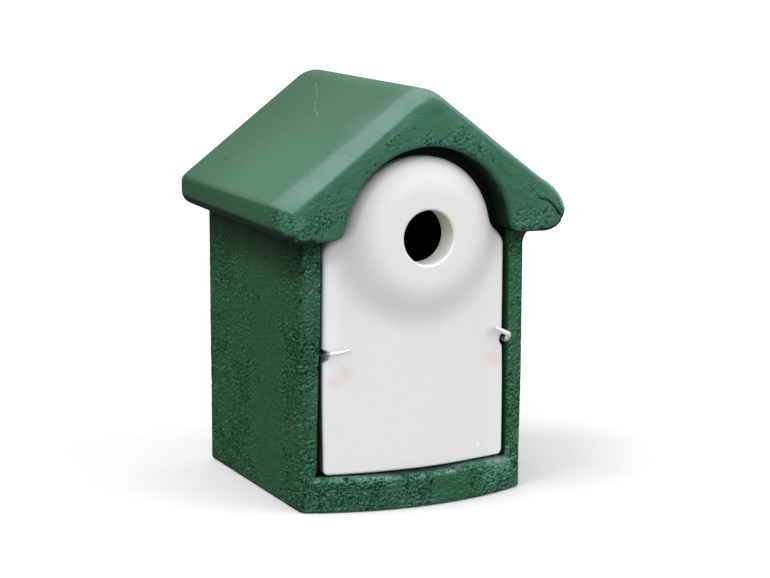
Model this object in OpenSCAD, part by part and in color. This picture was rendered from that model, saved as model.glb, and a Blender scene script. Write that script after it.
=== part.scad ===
// Apex nest box for small birds, cast in a wood and cement mix.
// A green hollow casting (floor, walls, roof) with a bowed front, closed by a
// white cast front panel that has a raised boss round the entrance hole.
// Two L shaped screw hooks stand in notches in the panel's edges and hold it.
// Millimetres. X to the right, the front faces -Y, Z up.
// Origin: on the floor, at the centre of the whole outline.

/* [Body casting] */
// Width across the two side walls
body_w = 145.4; // [120:0.1:180]
// Depth from the front corners to the flat back
body_d = 144.5; // [110:0.1:180]
// How far the front bows forward of its corners
bow = 16.2; // [6:0.1:25]
// Thickness of the floor, whose front edge is the sill
floor_t = 21.3; // [12:0.1:30]
// Side wall thickness
wall_t = 18.7; // [12:0.1:25]
// Back wall thickness
back_t = 18.5; // [12:0.1:25]

/* [Roof] */
// Width over the eaves
roof_w = 183; // [165:0.5:210]
// Overhang of the gable face ahead of the front corners
roof_over = 22; // [17:0.5:30]
// Height of the rounded ridge
ridge_z = 247.6; // [225:0.1:270]
// Slope of both halves
pitch = 37; // [30:0.5:45]
// Radius of the ridge
ridge_r = 16; // [8:0.5:24]
// Radius at the top of the eave
tip_r = 9; // [4:0.5:12]
// Radius at the foot of the eave
foot_r = 9; // [2:0.5:12]
// Height of the flat underside of the eaves
eave_z = 162.6; // [150:0.1:175]
// How far back the round of the front upper edge starts
lip_reach = 16; // [6:0.5:18]
// How far down the gable face it ends
lip_drop = 7; // [3:0.5:10]
// Radius of the arch in the gable face
arch_r = 54; // [50:0.5:58]
// Height of the arch centre
arch_z = 160.5; // [150:0.1:170]
// Radius of the vaulted ceiling inside
vault_r = 42; // [34:0.5:44]

/* [Front panel] */
// Width of the panel
panel_w = 118; // [100:0.5:120]
// Thickness of the flat part
panel_t = 8.3; // [6:0.1:12]
// Radius of the panel's front, seen from above
panel_bow_r = 250; // [200:1:400]
// How far the panel's middle stands ahead of the front corners
panel_face = 10.3; // [6:0.1:14]
// Foot of the panel
panel_z0 = 22; // [21.5:0.1:25]
// Height where the panel's side edges start to curve in to the head
shoulder_z = 150; // [140:0.5:152]
// Radius of the panel's round head
head_r = 47; // [40:0.5:49]
// Radius of the boss where it meets the panel
boss_r = 46; // [38:0.5:47]
// Radius of the boss face
boss_face_r = 30; // [22:0.5:36]
// How far the boss face stands ahead of the front corners
boss_face = 19.1; // [14:0.1:21]
// Entrance hole diameter
hole_d = 32; // [25:0.5:34]
// Height of the entrance hole
hole_z = 161.6; // [140:0.1:165]

/* [Hooks] */
// Distance of each shank from the middle
hook_x = 59.5; // [58:0.1:60.5]
// Height of the left shank
left_hook_z = 93.5; // [60:0.5:130]
// Height of the right shank
right_hook_z = 94; // [60:0.5:130]
// Wire diameter
wire_d = 2.6; // [2:0.1:3.2]
// How far the arm stands ahead of the front corners
hook_out = 9.5; // [9:0.5:16]
// Where the shank starts to rise towards the arm
crank_at = 5.5; // [5:0.5:8]
// How far the left arm's bend stands above its shank
left_rise = 2.5; // [0:0.5:5]
// How far the right arm's bend stands above its shank
right_rise = 4; // [0:0.5:5]
// Length of the left arm
left_arm = 16; // [10:0.5:20]
// Slope of the left arm
left_arm_deg = 6; // [0:1:40]
// Length of the right arm
right_arm = 12; // [8:0.5:20]
// Slope of the right arm
right_arm_deg = 26; // [0:1:40]
// Depth of the screwed end in the casting
hook_in = 22; // [16:1:28]

/* [Hanging hole] */
// Diameter of the hole for a nail or screw in the back wall
hang_d = 8; // [6:0.5:12]
// Height of the hole
hang_z = 140; // [120:1:150]

/* [Hidden] */
$fn = 96;
// moves the front corners' line to its place in the centred frame
y_shift = -(body_d - roof_over) / 2;
hw = body_w / 2;
front_r = (hw * hw + bow * bow) / (2 * bow);
cav_w = body_w - 2 * wall_t;
rebate_w = 123;
back_r = panel_bow_r - panel_t;
stop_gap = 0.6;
y_join = 8;
green = [0.16, 0.36, 0.23];
white = [0.90, 0.90, 0.89];
steel = [0.62, 0.63, 0.66];

module place() { translate([0, y_shift, 0]) children(); }

// the body's outline in plan, with its bowed front
module plan() {
  union() {
    translate([-hw, 0]) square([body_w, body_d]);
    intersection() {
      translate([0, front_r - bow]) circle(r = front_r, $fn = 360);
      translate([-hw, -bow - 1]) square([body_w, bow + 2]);
    }
  }
}

// half of the roof's section, to the right of the ridge
module roof_half_section() {
  apex = ridge_z + ridge_r * (1 / cos(pitch) - 1);
  rw = roof_w / 2;
  tx = rw - tip_r;
  tz = apex - tx * tan(pitch) - tip_r / cos(pitch);
  union() {
    polygon([[0, eave_z], [rw - foot_r, eave_z], [rw, eave_z + foot_r],
             [rw, tz], [tx + tip_r * sin(pitch), tz + tip_r * cos(pitch)],
             [ridge_r * sin(pitch), ridge_z - ridge_r + ridge_r * cos(pitch)],
             [0, ridge_z - ridge_r]]);
    intersection() {
      translate([0, ridge_z - ridge_r]) circle(r = ridge_r);
      translate([0, ridge_z - ridge_r]) square([ridge_r, ridge_r]);
    }
    translate([tx, tz]) circle(r = tip_r);
    translate([rw - foot_r, eave_z + foot_r]) circle(r = foot_r);
  }
}

// what the round front upper edge leaves out, on the right half
module lip_cut() {
  apex = ridge_z + ridge_r * (1 / cos(pitch) - 1);
  lip_r = (lip_reach * lip_reach + lip_drop * lip_drop) / (2 * lip_drop);
  translate([0, -roof_over, apex]) rotate([0, pitch, 0])
    difference() {
      translate([-20, -1, -lip_drop]) cube([150, lip_reach + 1, lip_drop + 1]);
      translate([-21, lip_reach, -lip_r]) rotate([0, 90, 0]) cylinder(r = lip_r, h = 152, $fn = 180);
    }
}

// roof from y0 to y1, right half only
module roof_run(y0, y1) {
  translate([0, y1, 0]) rotate([90, 0, 0]) linear_extrude(height = y1 - y0) roof_half_section();
}

// everything ahead of the faces that the panel rests against
module ahead_of_stop() {
  difference() {
    translate([-100, -60, 0]) cube([200, 60 + y_join + 4, 260]);
    translate([0, panel_bow_r - panel_face, -1]) cylinder(r = back_r - stop_gap, h = 262, $fn = 360);
  }
}

module floor_slab() {
  color(green) place() linear_extrude(height = floor_t) plan();
}

module hook_bore(z) {
  translate([hook_x, hook_in + 0.5, z]) rotate([90, 0, 0]) cylinder(d = wire_d + 0.2, h = hook_in + 40);
}

// right side wall behind the stop
module side_wall(z) {
  difference() {
    translate([hw - wall_t, y_join, floor_t]) cube([wall_t, body_d - back_t - y_join, eave_z - floor_t]);
    hook_bore(z);
  }
}

module left_wall() { color(green) place() mirror([1, 0, 0]) side_wall(left_hook_z); }
module right_wall() { color(green) place() side_wall(right_hook_z); }

// right front edge of the body: the strip beside the panel and the stop behind it
module side_jamb(z) {
  difference() {
    translate([0, 0, floor_t]) linear_extrude(height = eave_z - floor_t) intersection() {
      plan();
      translate([hw - wall_t, -bow - 1]) square([wall_t, bow + 1 + y_join]);
    }
    intersection() {
      translate([0, -30, 0]) cube([rebate_w / 2, 60, 200]);
      ahead_of_stop();
    }
    hook_bore(z);
  }
}

module left_jamb() { color(green) place() mirror([1, 0, 0]) side_jamb(left_hook_z); }
module right_jamb() { color(green) place() side_jamb(right_hook_z); }

module back_wall() {
  color(green) place() difference() {
    translate([-hw, body_d - back_t, floor_t]) cube([body_w, back_t, eave_z - floor_t]);
    translate([0, body_d + 1, hang_z]) rotate([90, 0, 0]) cylinder(d = hang_d, h = back_t + 2);
  }
}

// right half of the roof behind the gable hood, with the vault under it
module half_roof() {
  difference() {
    roof_run(y_join, body_d);
    translate([0, body_d - back_t, arch_z]) rotate([90, 0, 0]) cylinder(r = vault_r, h = body_d);
  }
}

module left_roof() { color(green) place() mirror([1, 0, 0]) half_roof(); }
module right_roof() { color(green) place() half_roof(); }

// the front of the roof, with the arch that the boss stands in
module gable_hood() {
  color(green) place() difference() {
    union() {
      difference() { roof_run(-roof_over, y_join); lip_cut(); }
      mirror([1, 0, 0]) difference() { roof_run(-roof_over, y_join); lip_cut(); }
    }
    translate([0, y_join + 1, arch_z]) rotate([90, 0, 0]) cylinder(r = vault_r, h = 60);
    intersection() {
      translate([0, y_join + 1, arch_z]) rotate([90, 0, 0]) cylinder(r = arch_r, h = 60);
      ahead_of_stop();
    }
  }
}

// the panel's outline, seen from the front, with sloping shoulders
module panel_outline() {
  w = panel_w / 2;
  right = [[w, panel_z0], [w, shoulder_z], [w - 1, shoulder_z + 4.5], [w - 3, shoulder_z + 8],
           [w - 7, shoulder_z + 11.5], [head_r - 0.6, shoulder_z + 18]];
  union() {
    polygon(concat(right, [for (i = [len(right) - 1:-1:0]) [-right[i][0], right[i][1]]]));
    translate([0, hole_z - 0.6]) circle(r = head_r);
  }
}

module front_panel() {
  color(white) place() difference() {
    union() {
      // bowed plate
      intersection() {
        translate([0, 40, 0]) rotate([90, 0, 0]) linear_extrude(height = 80) panel_outline();
        difference() {
          translate([0, panel_bow_r - panel_face, 0]) cylinder(r = panel_bow_r, h = 230, $fn = 360);
          translate([0, panel_bow_r - panel_face, -1]) cylinder(r = back_r, h = 232, $fn = 360);
        }
      }
      // boss round the entrance hole
      translate([0, -2, hole_z - 0.6]) rotate([90, 0, 0]) {
        cylinder(r = boss_r, h = 6);
        translate([0, 0, 6]) cylinder(r1 = boss_r, r2 = boss_face_r, h = boss_face - 8);
      }
    }
    translate([0, 20, hole_z]) rotate([90, 0, 0]) cylinder(d = hole_d, h = 60);
    // notches for the hook shanks
    translate([hook_x, 20, right_hook_z]) rotate([90, 0, 0]) cylinder(r = 3.5, h = 40);
    translate([-hook_x, 20, left_hook_z]) rotate([90, 0, 0]) cylinder(r = 3.5, h = 40);
  }
}

// L shaped screw hook whose arm points to the right. The shank rises just
// before the arm, so the arm stands a little above it.
module hook(z, rise, arm, deg) {
  dy = hook_out - crank_at;
  knuckle = wire_d * 1.06;
  translate([-hook_x, 0, z]) {
    translate([0, hook_in, 0]) rotate([90, 0, 0]) cylinder(d = wire_d, h = hook_in + crank_at);
    translate([0, -crank_at, 0]) {
      sphere(d = knuckle);
      rotate([atan2(dy, rise), 0, 0]) cylinder(d = wire_d, h = sqrt(dy * dy + rise * rise));
    }
    translate([0, -hook_out, rise]) {
      sphere(d = knuckle);
      rotate([0, 90 - deg, 0]) cylinder(d = wire_d, h = arm - wire_d / 2);
      rotate([0, -deg, 0]) translate([arm - wire_d / 2, 0, 0]) sphere(d = wire_d);
    }
  }
}

module left_hook() { color(steel) place() hook(left_hook_z, left_rise, left_arm, left_arm_deg); }
module right_hook() { color(steel) place() mirror([1, 0, 0]) hook(right_hook_z, right_rise, right_arm, right_arm_deg); }

floor_slab();
left_wall();
right_wall();
left_jamb();
right_jamb();
back_wall();
left_roof();
right_roof();
gable_hood();
front_panel();
left_hook();
right_hook();
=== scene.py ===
import math

import bpy
import numpy as np
from mathutils import Matrix, Vector


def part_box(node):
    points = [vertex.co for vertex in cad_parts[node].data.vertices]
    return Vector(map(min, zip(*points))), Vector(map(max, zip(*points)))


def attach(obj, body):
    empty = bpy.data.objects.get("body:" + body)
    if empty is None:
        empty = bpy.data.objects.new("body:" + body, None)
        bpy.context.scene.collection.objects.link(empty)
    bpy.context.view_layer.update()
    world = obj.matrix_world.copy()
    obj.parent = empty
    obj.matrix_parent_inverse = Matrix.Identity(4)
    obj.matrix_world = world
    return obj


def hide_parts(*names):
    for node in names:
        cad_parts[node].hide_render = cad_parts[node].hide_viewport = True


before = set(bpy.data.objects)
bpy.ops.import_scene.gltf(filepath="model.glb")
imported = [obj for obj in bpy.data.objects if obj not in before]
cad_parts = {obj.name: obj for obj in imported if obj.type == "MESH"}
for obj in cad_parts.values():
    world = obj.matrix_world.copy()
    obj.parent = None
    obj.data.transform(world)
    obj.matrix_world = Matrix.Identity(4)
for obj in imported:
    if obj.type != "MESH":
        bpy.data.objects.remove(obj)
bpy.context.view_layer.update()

MM = 0.001

# The casting is worked out in millimetres in the body's own frame: x from the middle, y back from the
# front corners, z up from the foot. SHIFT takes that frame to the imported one.
BACK_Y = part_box("back_wall")[1].y / MM
DEPTH = 144.5
SHIFT = BACK_Y - DEPTH
HALF_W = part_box("floor_slab")[1].x / MM
HALF_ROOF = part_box("left_roof")[0].x / -MM
FRONT_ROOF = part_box("gable_hood")[0].y / MM - SHIFT
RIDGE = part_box("left_roof")[1].z / MM - 0.45
FLOOR_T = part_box("floor_slab")[1].z / MM
BOW = -(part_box("floor_slab")[0].y / MM - SHIFT)
CAVITY = -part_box("left_wall")[1].x / MM
BACK_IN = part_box("back_wall")[0].y / MM - SHIFT

PITCH = math.radians(37)
ARCH_R, ARCH_Z, VAULT_R = 54.0, 160.5, 42.0
RIDGE_R = 19.6
HOOK_X, HOOK_L_Z, HOOK_R_Z = 59.5, 93.5, 94.0


# ---------------------------------------------------------------- shape maths
def rint(a, b, r):
    """What two solids share, with their edge rounded to r."""
    return np.minimum(np.maximum(a, b), -r) + np.hypot(np.maximum(a + r, 0), np.maximum(b + r, 0))


def runi(a, b, r):
    """Two solids joined, with a hollow fillet of r."""
    return -rint(-a, -b, r)


def smooth(a, b, v):
    t = np.clip((v - a) / (b - a), 0, 1)
    return t * t * (3 - 2 * t)


_lattices = {}


def noise(x, y, z, scale, seed):
    """Value noise from -1 to 1, with its lattice scale mm apart."""
    if seed not in _lattices:
        _lattices[seed] = np.random.default_rng(seed).random(64 ** 3, dtype=np.float32) * 2 - 1
    lat = _lattices[seed]
    out = np.zeros(np.shape(x), np.float32)
    ii, ff = [], []
    for v in (x, y, z):
        q = v / scale + 1000.37
        i = np.floor(q)
        f = (q - i).astype(np.float32)
        ii.append(i.astype(np.int64))
        ff.append(f * f * f * (f * (f * 6 - 15) + 10))
    for dx in (0, 1):
        wx = ff[0] if dx else 1 - ff[0]
        ix = ((ii[0] + dx) & 63) << 12
        for dy in (0, 1):
            wy = wx * (ff[1] if dy else 1 - ff[1])
            iy = ix + (((ii[1] + dy) & 63) << 6)
            for dz in (0, 1):
                out += wy * (ff[2] if dz else 1 - ff[2]) * lat[iy + ((ii[2] + dz) & 63)]
    return out


def fbm(x, y, z, scale, seed, octaves=3):
    out = np.zeros(np.shape(x), np.float32)
    total, amp = 0.0, 1.0
    for o in range(octaves):
        out += amp * noise(x, y, z, scale / 2 ** o, seed + o)
        total += amp
        amp *= 0.55
    return out / total * 1.6


# ---------------------------------------------------------------- the casting
FRONT_R = (HALF_W ** 2 + BOW ** 2) / (2 * BOW)
APEX = RIDGE + RIDGE_R * (1 / math.cos(PITCH) - 1)
STOP_R, STOP_Y = 241.1, 239.7


def underside(x, y):
    return 162.7 + 0.015 * y - 0.008 * x - 0.8 * smooth(20, 70, x)


def front_round(x):
    """The front upper edge is a broad round that stops short, at a line on the gable face. How far
    down the face the line is, and how far back the round starts."""
    ax = np.abs(x)
    right = smooth(-7, 7, x)
    return (7.0 + 7.0 * smooth(30, 80, x)) * right + (6.8 + 1.2 * smooth(80, 10, ax)) * (1 - right), 15.5 + 2.5 * right


def voids(x, y, z):
    """The door rebate with the arch over it, and the nest space."""
    ax = np.abs(x)
    above = np.where(z > ARCH_Z, np.hypot(x, z - ARCH_Z), ax)
    zb = underside(x, y)
    hood = rint(zb - z, ARCH_R - above, 7.0)
    infront = STOP_R - np.hypot(x, y - STOP_Y)
    flare = np.where(x < 0, 2.1 * smooth(135, 25, z), 0.2 * smooth(75, 28, z)) * smooth(7, 1, y)
    rebate = np.maximum(np.maximum(ax - 61.5 - flare, -hood), np.maximum(FLOOR_T - z, infront))
    nest = np.maximum(np.maximum(ax - CAVITY, FLOOR_T - z), np.maximum(z - 162.7, y - BACK_IN))
    vault = np.maximum(np.maximum(above - VAULT_R, y - BACK_IN), 150 - z)
    return rebate, np.minimum(nest, vault)


def solid(x, y, z):
    """Distance to the skin of the casting before its pits."""
    ax = np.abs(x)
    right = x > 0
    wide = HALF_W + np.where(right, 0.70 + 1.00 * smooth(25, 75, z), 0.25 + 0.25 * smooth(20, 120, z))
    body = rint(ax - wide, np.hypot(x, y - (FRONT_R - BOW)) - FRONT_R, np.where(right, 2.2, 4.2))
    body = rint(body, -z, 1.8)
    body = np.maximum(body, z - 172)
    slope = (z - APEX + math.tan(PITCH) * ax) * math.cos(PITCH)
    ridge_c = RIDGE - RIDGE_R
    crown = np.where(ax < (z - ridge_c) * math.tan(PITCH), np.hypot(x, z - ridge_c) - RIDGE_R, slope)
    # the right eave is blunter than the left one
    blunt = np.where(right, 1.0, 0.0)
    tip_r = 5.8 + 17.2 * blunt
    tip_x = HALF_ROOF - 0.4 * blunt - tip_r
    tip_z = APEX - tip_x * math.tan(PITCH) - tip_r / math.cos(PITCH)
    vx, vz = ax - tip_x, z - tip_z
    corner = (vx * math.cos(PITCH) - vz * math.sin(PITCH) > 0) & (vz > 0)
    crown = np.where(corner, np.hypot(vx, vz) - tip_r, np.maximum(crown, ax - HALF_ROOF + 0.4 * blunt))
    drop, reach = front_round(x)
    shrink = np.where(right, (1 - 0.6 * smooth(78, 92, x)) * (1 - 0.7 * smooth(184, 164, z)), 1 - 0.7 * smooth(184, 164, z))
    drop, reach = drop * shrink, reach * shrink
    lip_r = (reach ** 2 + drop ** 2) / (2 * drop)
    b = FRONT_ROOF - y
    u, v = crown + lip_r, b + reach
    lip = np.where((u > 0) & (v > 0), np.hypot(u, v) - lip_r, crown)
    roof = rint(lip, underside(x, y) - z, 9.0 + 5.5 * blunt)
    roof = rint(roof, b, 2.6 + 0.3 * smooth(176, 166, z))
    out = runi(body, roof, np.where(right, 11.0, 5.0))
    out = rint(out, y - DEPTH, 2.2)
    rebate, nest = voids(x, y, z)
    edge = 1.4 + 1.3 * smooth(158, 166, z) + 2.6 * smooth(26, 21.5, z) + 1.4 * smooth(110, 40, z) * (x > -40)
    out = rint(out, -np.minimum(rebate, nest), edge)
    nail = np.maximum(np.hypot(x, z - 140.0) - 4.0, 120 - y)
    out = rint(out, -nail, 0.8)
    for sx, hz in ((-1, HOOK_L_Z), (1, HOOK_R_Z)):
        bore = np.maximum(np.hypot(x - sx * HOOK_X, z - hz) - 1.9, y - 23.5)
        out = np.maximum(out, -bore)
    return out


# groups of open pores on the gable face: x, z, radius and how open
CLUSTERS = [(19.8, 217.0, 8.0, 1.0), (29.0, 212.0, 7.5, 0.8), (9.0, 216.5, 4.5, 0.9), (-1.5, 219.5, 6.0, 1.0),
            (-28.0, 217.5, 6.0, 0.8), (-20.3, 222.5, 4.0, 0.7), (-66.0, 185.0, 8.0, 0.6), (-68.5, 176.5, 9.0, 0.85),
            (-55.0, 177.0, 6.5, 0.8), (-46.0, 189.0, 4.5, 0.45), (-76.0, 168.0, 10.0, 0.9), (60.0, 168.0, 8.0, 0.9),
            (70.0, 168.0, 9.0, 1.0), (80.0, 170.5, 8.0, 0.9), (66.0, 187.0, 5.0, 0.4)]


def where(x, y, z, n):
    """How porous the cast skin is, from 0 to 1, and whether a point is inside the box."""
    ax = np.abs(x)
    rebate, nest = voids(x, y, z)
    inner = np.minimum(rebate, nest) < 0.7
    deep = (nest < 0.7) & inner
    clump = fbm(x, y, z, 26.0, 11, 3)
    fine = fbm(x, y, z, 9.0, 21, 2)
    c = smooth(-0.35, 0.45, clump + 0.45 * fine)
    under = underside(x, y)
    wall = (ax > HALF_W - 3) & (z < under)
    # The walls are open near the front corner and in the back half, and closer between.
    wy = y + 9 * clump
    wall_rate = 0.08 + 0.92 * np.maximum(smooth(37, 20, wy), smooth(58, 84, wy)) * (0.30 + 0.70 * c) + 0.10 * c
    wall_rate *= 0.55 + 0.45 * smooth(160, 138, z)
    gable = (n[:, 1] < -0.5) & (z > 160)
    near = np.zeros(len(x))
    for px, pz, pr, pa in CLUSTERS:
        near = np.maximum(near, pa * smooth(1.25, 0.55, np.hypot(x - px, z - pz) / pr + 0.25 * fine))
    gable_rate = 0.07 + 0.93 * near + 0.18 * smooth(0.3, 0.9, clump)
    front = (n[:, 1] < -0.4) & (z <= 163) & ~deep
    front_rate = 0.35 + 0.65 * c
    # the sill has a close, smooth part right of the middle
    front_rate = front_rate * (1 - 0.8 * smooth(15, 11, np.abs(x - 19)) * smooth(22, 16, z))
    eave = (ax > HALF_ROOF - 7) & (z > 160)
    eave_rate = 0.10 + 0.85 * smooth(18, -13, y) * (0.4 + 0.6 * c) + 0.12 * smooth(0.2, 0.8, clump)
    slope = (n[:, 2] > 0.5) & (z > 170)
    slope_rate = 0.012 + 0.10 * smooth(0.55, 0.95, clump) * smooth(12, 0, np.minimum(y - FRONT_ROOF, DEPTH - y))
    rate = 0.25 + 0.5 * c
    rate = np.where(wall, wall_rate, rate)
    rate = np.where(gable, gable_rate, rate)
    rate = np.where(front, front_rate, rate)
    rate = np.where(eave, eave_rate, rate)
    rate = np.where(slope, slope_rate, rate)
    rate = np.where(inner & ~front & ~gable, 0.25 * c + 0.05, rate)
    return np.clip(rate, 0, 1), deep


def relief(x, y, z, skin):
    """Slow unevenness of the cast skin, smaller on the smooth slopes of the roof."""
    rough = smooth(176, 164, z)
    a = 0.05 * fbm(x, y, z, 26.0, 31, 2)
    b = 0.07 * fbm(x, y, z, 4.0, 41, 2)
    return skin + (0.5 + 0.5 * rough) * a + (0.2 + 0.8 * rough) * b + 0.05 * noise(x, y, z, 40.0, 51)


# ---------------------------------------------------------------- mesh from a distance grid
CORNERS = [(i & 1, (i >> 1) & 1, (i >> 2) & 1) for i in range(8)]
EDGES = [(a, b) for a in range(8) for b in range(a + 1, 8) if bin(a ^ b).count("1") == 1]


def _split_cells():
    """Which of the 256 corner patterns would pinch two sheets together at one vertex."""
    bad = np.zeros(256, bool)
    for m in range(1, 255):
        for want in (0, 1):
            left = [i for i in range(8) if ((m >> i) & 1) == want]
            seen, stack = {left[0]}, [left[0]]
            while stack:
                a = stack.pop()
                for b in left:
                    if b not in seen and bin(a ^ b).count("1") == 1:
                        seen.add(b)
                        stack.append(b)
            if len(seen) != len(left):
                bad[m] = True
    return bad


def cell_masks(inside):
    s = inside.view(np.uint8)
    nx, ny, nz = s.shape
    m = np.zeros((nx - 1, ny - 1, nz - 1), np.uint8)
    for b, (i, j, k) in enumerate(CORNERS):
        m |= s[i:nx - 1 + i, j:ny - 1 + j, k:nz - 1 + k] << b
    return m


def open_pinches(d):
    """Fills single grid points until no cell pinches, so that the mesh is a clean closed one."""
    bad = _split_cells()
    offs = np.array(CORNERS)
    for _ in range(30):
        m = cell_masks(d < 0)
        cells = np.argwhere(bad[m])
        if not len(cells):
            return
        pts = cells[:, None, :] + offs[None]
        v = d[pts[..., 0], pts[..., 1], pts[..., 2]]
        v = np.where(v >= 0, v, 1e9)
        pick = np.argmin(v, axis=1)
        c = pts[np.arange(len(pts)), pick]
        d[c[:, 0], c[:, 1], c[:, 2]] = -0.04


def fill_bubbles(d):
    """Fills a grid point of air shut inside the stone, which would leave a stray shell there."""
    s = d < 0
    mid = slice(1, -1)
    shut = ~s[mid, mid, mid]
    for axis in range(3):
        for side in (slice(0, -2), slice(2, None)):
            at = [mid] * 3
            at[axis] = side
            shut &= s[tuple(at)]
    d[mid, mid, mid][shut] = -0.04


def nets(d, origin, h):
    """Surface nets: one vertex in each cell the skin crosses, one quad round each grid edge it crosses."""
    m = cell_masks(d < 0)
    flat = np.flatnonzero((m != 0) & (m != 255))
    ci, cj, ck = np.unravel_index(flat, m.shape)
    vals = [d[ci + i, cj + j, ck + k] for i, j, k in CORNERS]
    acc = np.zeros((len(flat), 3))
    cnt = np.zeros(len(flat))
    for a, b in EDGES:
        da, db = vals[a], vals[b]
        cross = (da < 0) != (db < 0)
        t = np.where(cross, da / np.where(cross, da - db, 1), 0)
        ca, cb = np.array(CORNERS[a]), np.array(CORNERS[b])
        acc += np.where(cross[:, None], ca + t[:, None] * (cb - ca), 0)
        cnt += cross
    verts = (np.stack([ci, cj, ck], 1) + acc / cnt[:, None]) * h + origin
    index = np.full(m.shape, -1, np.int32)
    index.ravel()[flat] = np.arange(len(flat), dtype=np.int32)
    s = d < 0
    quads = []
    for axis in range(3):
        u, w = (axis + 1) % 3, (axis + 2) % 3
        lo = [slice(1, -1)] * 3
        hi = [slice(1, -1)] * 3
        lo[axis], hi[axis] = slice(0, -1), slice(1, None)
        a, b = s[tuple(lo)], s[tuple(hi)]
        cells = np.argwhere(a != b)
        out = a[cells[:, 0], cells[:, 1], cells[:, 2]]
        cells = cells + 1
        cells[:, axis] -= 1
        q = []
        for du, dw in ((-1, -1), (0, -1), (0, 0), (-1, 0)):
            c = cells.copy()
            c[:, u] += du
            c[:, w] += dw
            q.append(index[c[:, 0], c[:, 1], c[:, 2]])
        q = np.stack(q, 1)
        q[~out] = q[~out][:, ::-1]
        quads.append(q)
    return verts, np.concatenate(quads)


def triangles(verts, quads):
    """Each quad cut along its shorter diagonal."""
    p = verts[quads]
    first = np.sum((p[:, 0] - p[:, 2]) ** 2, 1) <= np.sum((p[:, 1] - p[:, 3]) ** 2, 1)
    t = np.where(first[:, None], quads[:, [0, 1, 2, 0, 2, 3]], quads[:, [1, 2, 3, 1, 3, 0]])
    return t.reshape(-1, 3)


def new_object(name, verts, faces):
    me = bpy.data.meshes.new(name)
    n = faces.shape[1]
    me.vertices.add(len(verts))
    me.vertices.foreach_set("co", np.ascontiguousarray(verts, np.float32).ravel())
    me.loops.add(faces.size)
    me.loops.foreach_set("vertex_index", np.ascontiguousarray(faces, np.int32).ravel())
    me.polygons.add(len(faces))
    me.polygons.foreach_set("loop_start", np.arange(0, faces.size, n, dtype=np.int32))
    me.update(calc_edges=True)
    me.validate()
    ob = bpy.data.objects.new(name, me)
    bpy.context.scene.collection.objects.link(ob)
    return ob


def mesh_arrays(me):
    co = np.empty(len(me.vertices) * 3, np.float32)
    me.vertices.foreach_get("co", co)
    me.calc_loop_triangles()
    tri = np.empty(len(me.loop_triangles) * 3, np.int32)
    me.loop_triangles.foreach_get("vertices", tri)
    return co.reshape(-1, 3).astype(np.float64), tri.reshape(-1, 3)


def decimated(ob, target):
    """A copy of the piece's mesh taken down to about target triangles."""
    n = sum(len(p.vertices) - 2 for p in ob.data.polygons) if len(ob.data.polygons) < 1000 else len(ob.data.polygons)
    if n > target:
        mod = ob.modifiers.new("thin", "DECIMATE")
        mod.ratio = target / n
        dg = bpy.context.evaluated_depsgraph_get()
        me = bpy.data.meshes.new_from_object(ob.evaluated_get(dg))
        ob.modifiers.clear()
        old = ob.data
        ob.data = me
        bpy.data.meshes.remove(old)
        me.name = ob.name
    return ob


def gradient(f, p, e=0.25):
    g = np.empty_like(p)
    for a in range(3):
        q = p.copy()
        q[:, a] += e
        hi = f(q[:, 0], q[:, 1], q[:, 2])
        q[:, a] -= 2 * e
        g[:, a] = hi - f(q[:, 0], q[:, 1], q[:, 2])
    return g / np.maximum(np.linalg.norm(g, axis=1, keepdims=True), 1e-9)


def grid(lo, hi, h):
    ax = [np.arange(a, b + h, h, dtype=np.float32) for a, b in zip(lo, hi)]
    return ax


def fill_grid(f, ax):
    d = np.empty([len(a) for a in ax], np.float32)
    y, z = ax[1][None, :, None], ax[2][None, None, :]
    for i in range(0, len(ax[0]), 12):
        x = ax[0][i:i + 12, None, None]
        xx, yy, zz = np.broadcast_arrays(x, y, z)
        d[i:i + 12] = f(xx, yy, zz)
    return d


def add_attribute(me, name, values):
    at = me.attributes.new(name, "FLOAT", "POINT")
    at.data.foreach_set("value", np.ascontiguousarray(values, np.float32))


def atlas(me, normals, group):
    """A map of flat charts, by the way the skin faces, so that a finish can be laid on it without overlaps."""
    co, tri = mesh_arrays(me)
    n = normals
    axis = np.argmax(np.abs(n), axis=1)
    sign = n[np.arange(len(n)), axis] > 0
    chart = group * 6 + axis * 2 + sign
    uv = np.zeros((len(tri), 3, 2))
    boxes = []
    for c in np.unique(chart):
        f = np.flatnonzero(chart == c)
        a = int(c % 6) // 2
        keep = [i for i in range(3) if i != a]
        p = co[tri[f]][:, :, keep]
        lo, hi = p.reshape(-1, 2).min(0), p.reshape(-1, 2).max(0)
        boxes.append([c, f, p - lo, hi - lo])
    boxes.sort(key=lambda b: -b[3][1])
    gap = 2.5 * MM
    best = None
    for width in np.linspace(0.2, 1.2, 60):
        x = y = row = 0.0
        ok, spots, widest = True, [], 0.0
        for b in boxes:
            w, hgt = b[3] + gap
            if w > width:
                ok = False
                break
            if x + w > width:
                x, y, row = 0.0, y + row, 0.0
            spots.append((x, y))
            x += w
            row = max(row, hgt)
            widest = max(widest, x)
        side = max(widest, y + row)
        if ok and (best is None or side < best[0]):
            best = (side, spots)
    side, spots = best
    for b, (x, y) in zip(boxes, spots):
        uv[b[1]] = (b[2] + np.array([x, y]) + gap / 2) / side
    layer = me.uv_layers.new(name="OFBake")
    layer.data.foreach_set("uv", uv.astype(np.float32).ravel())


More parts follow.
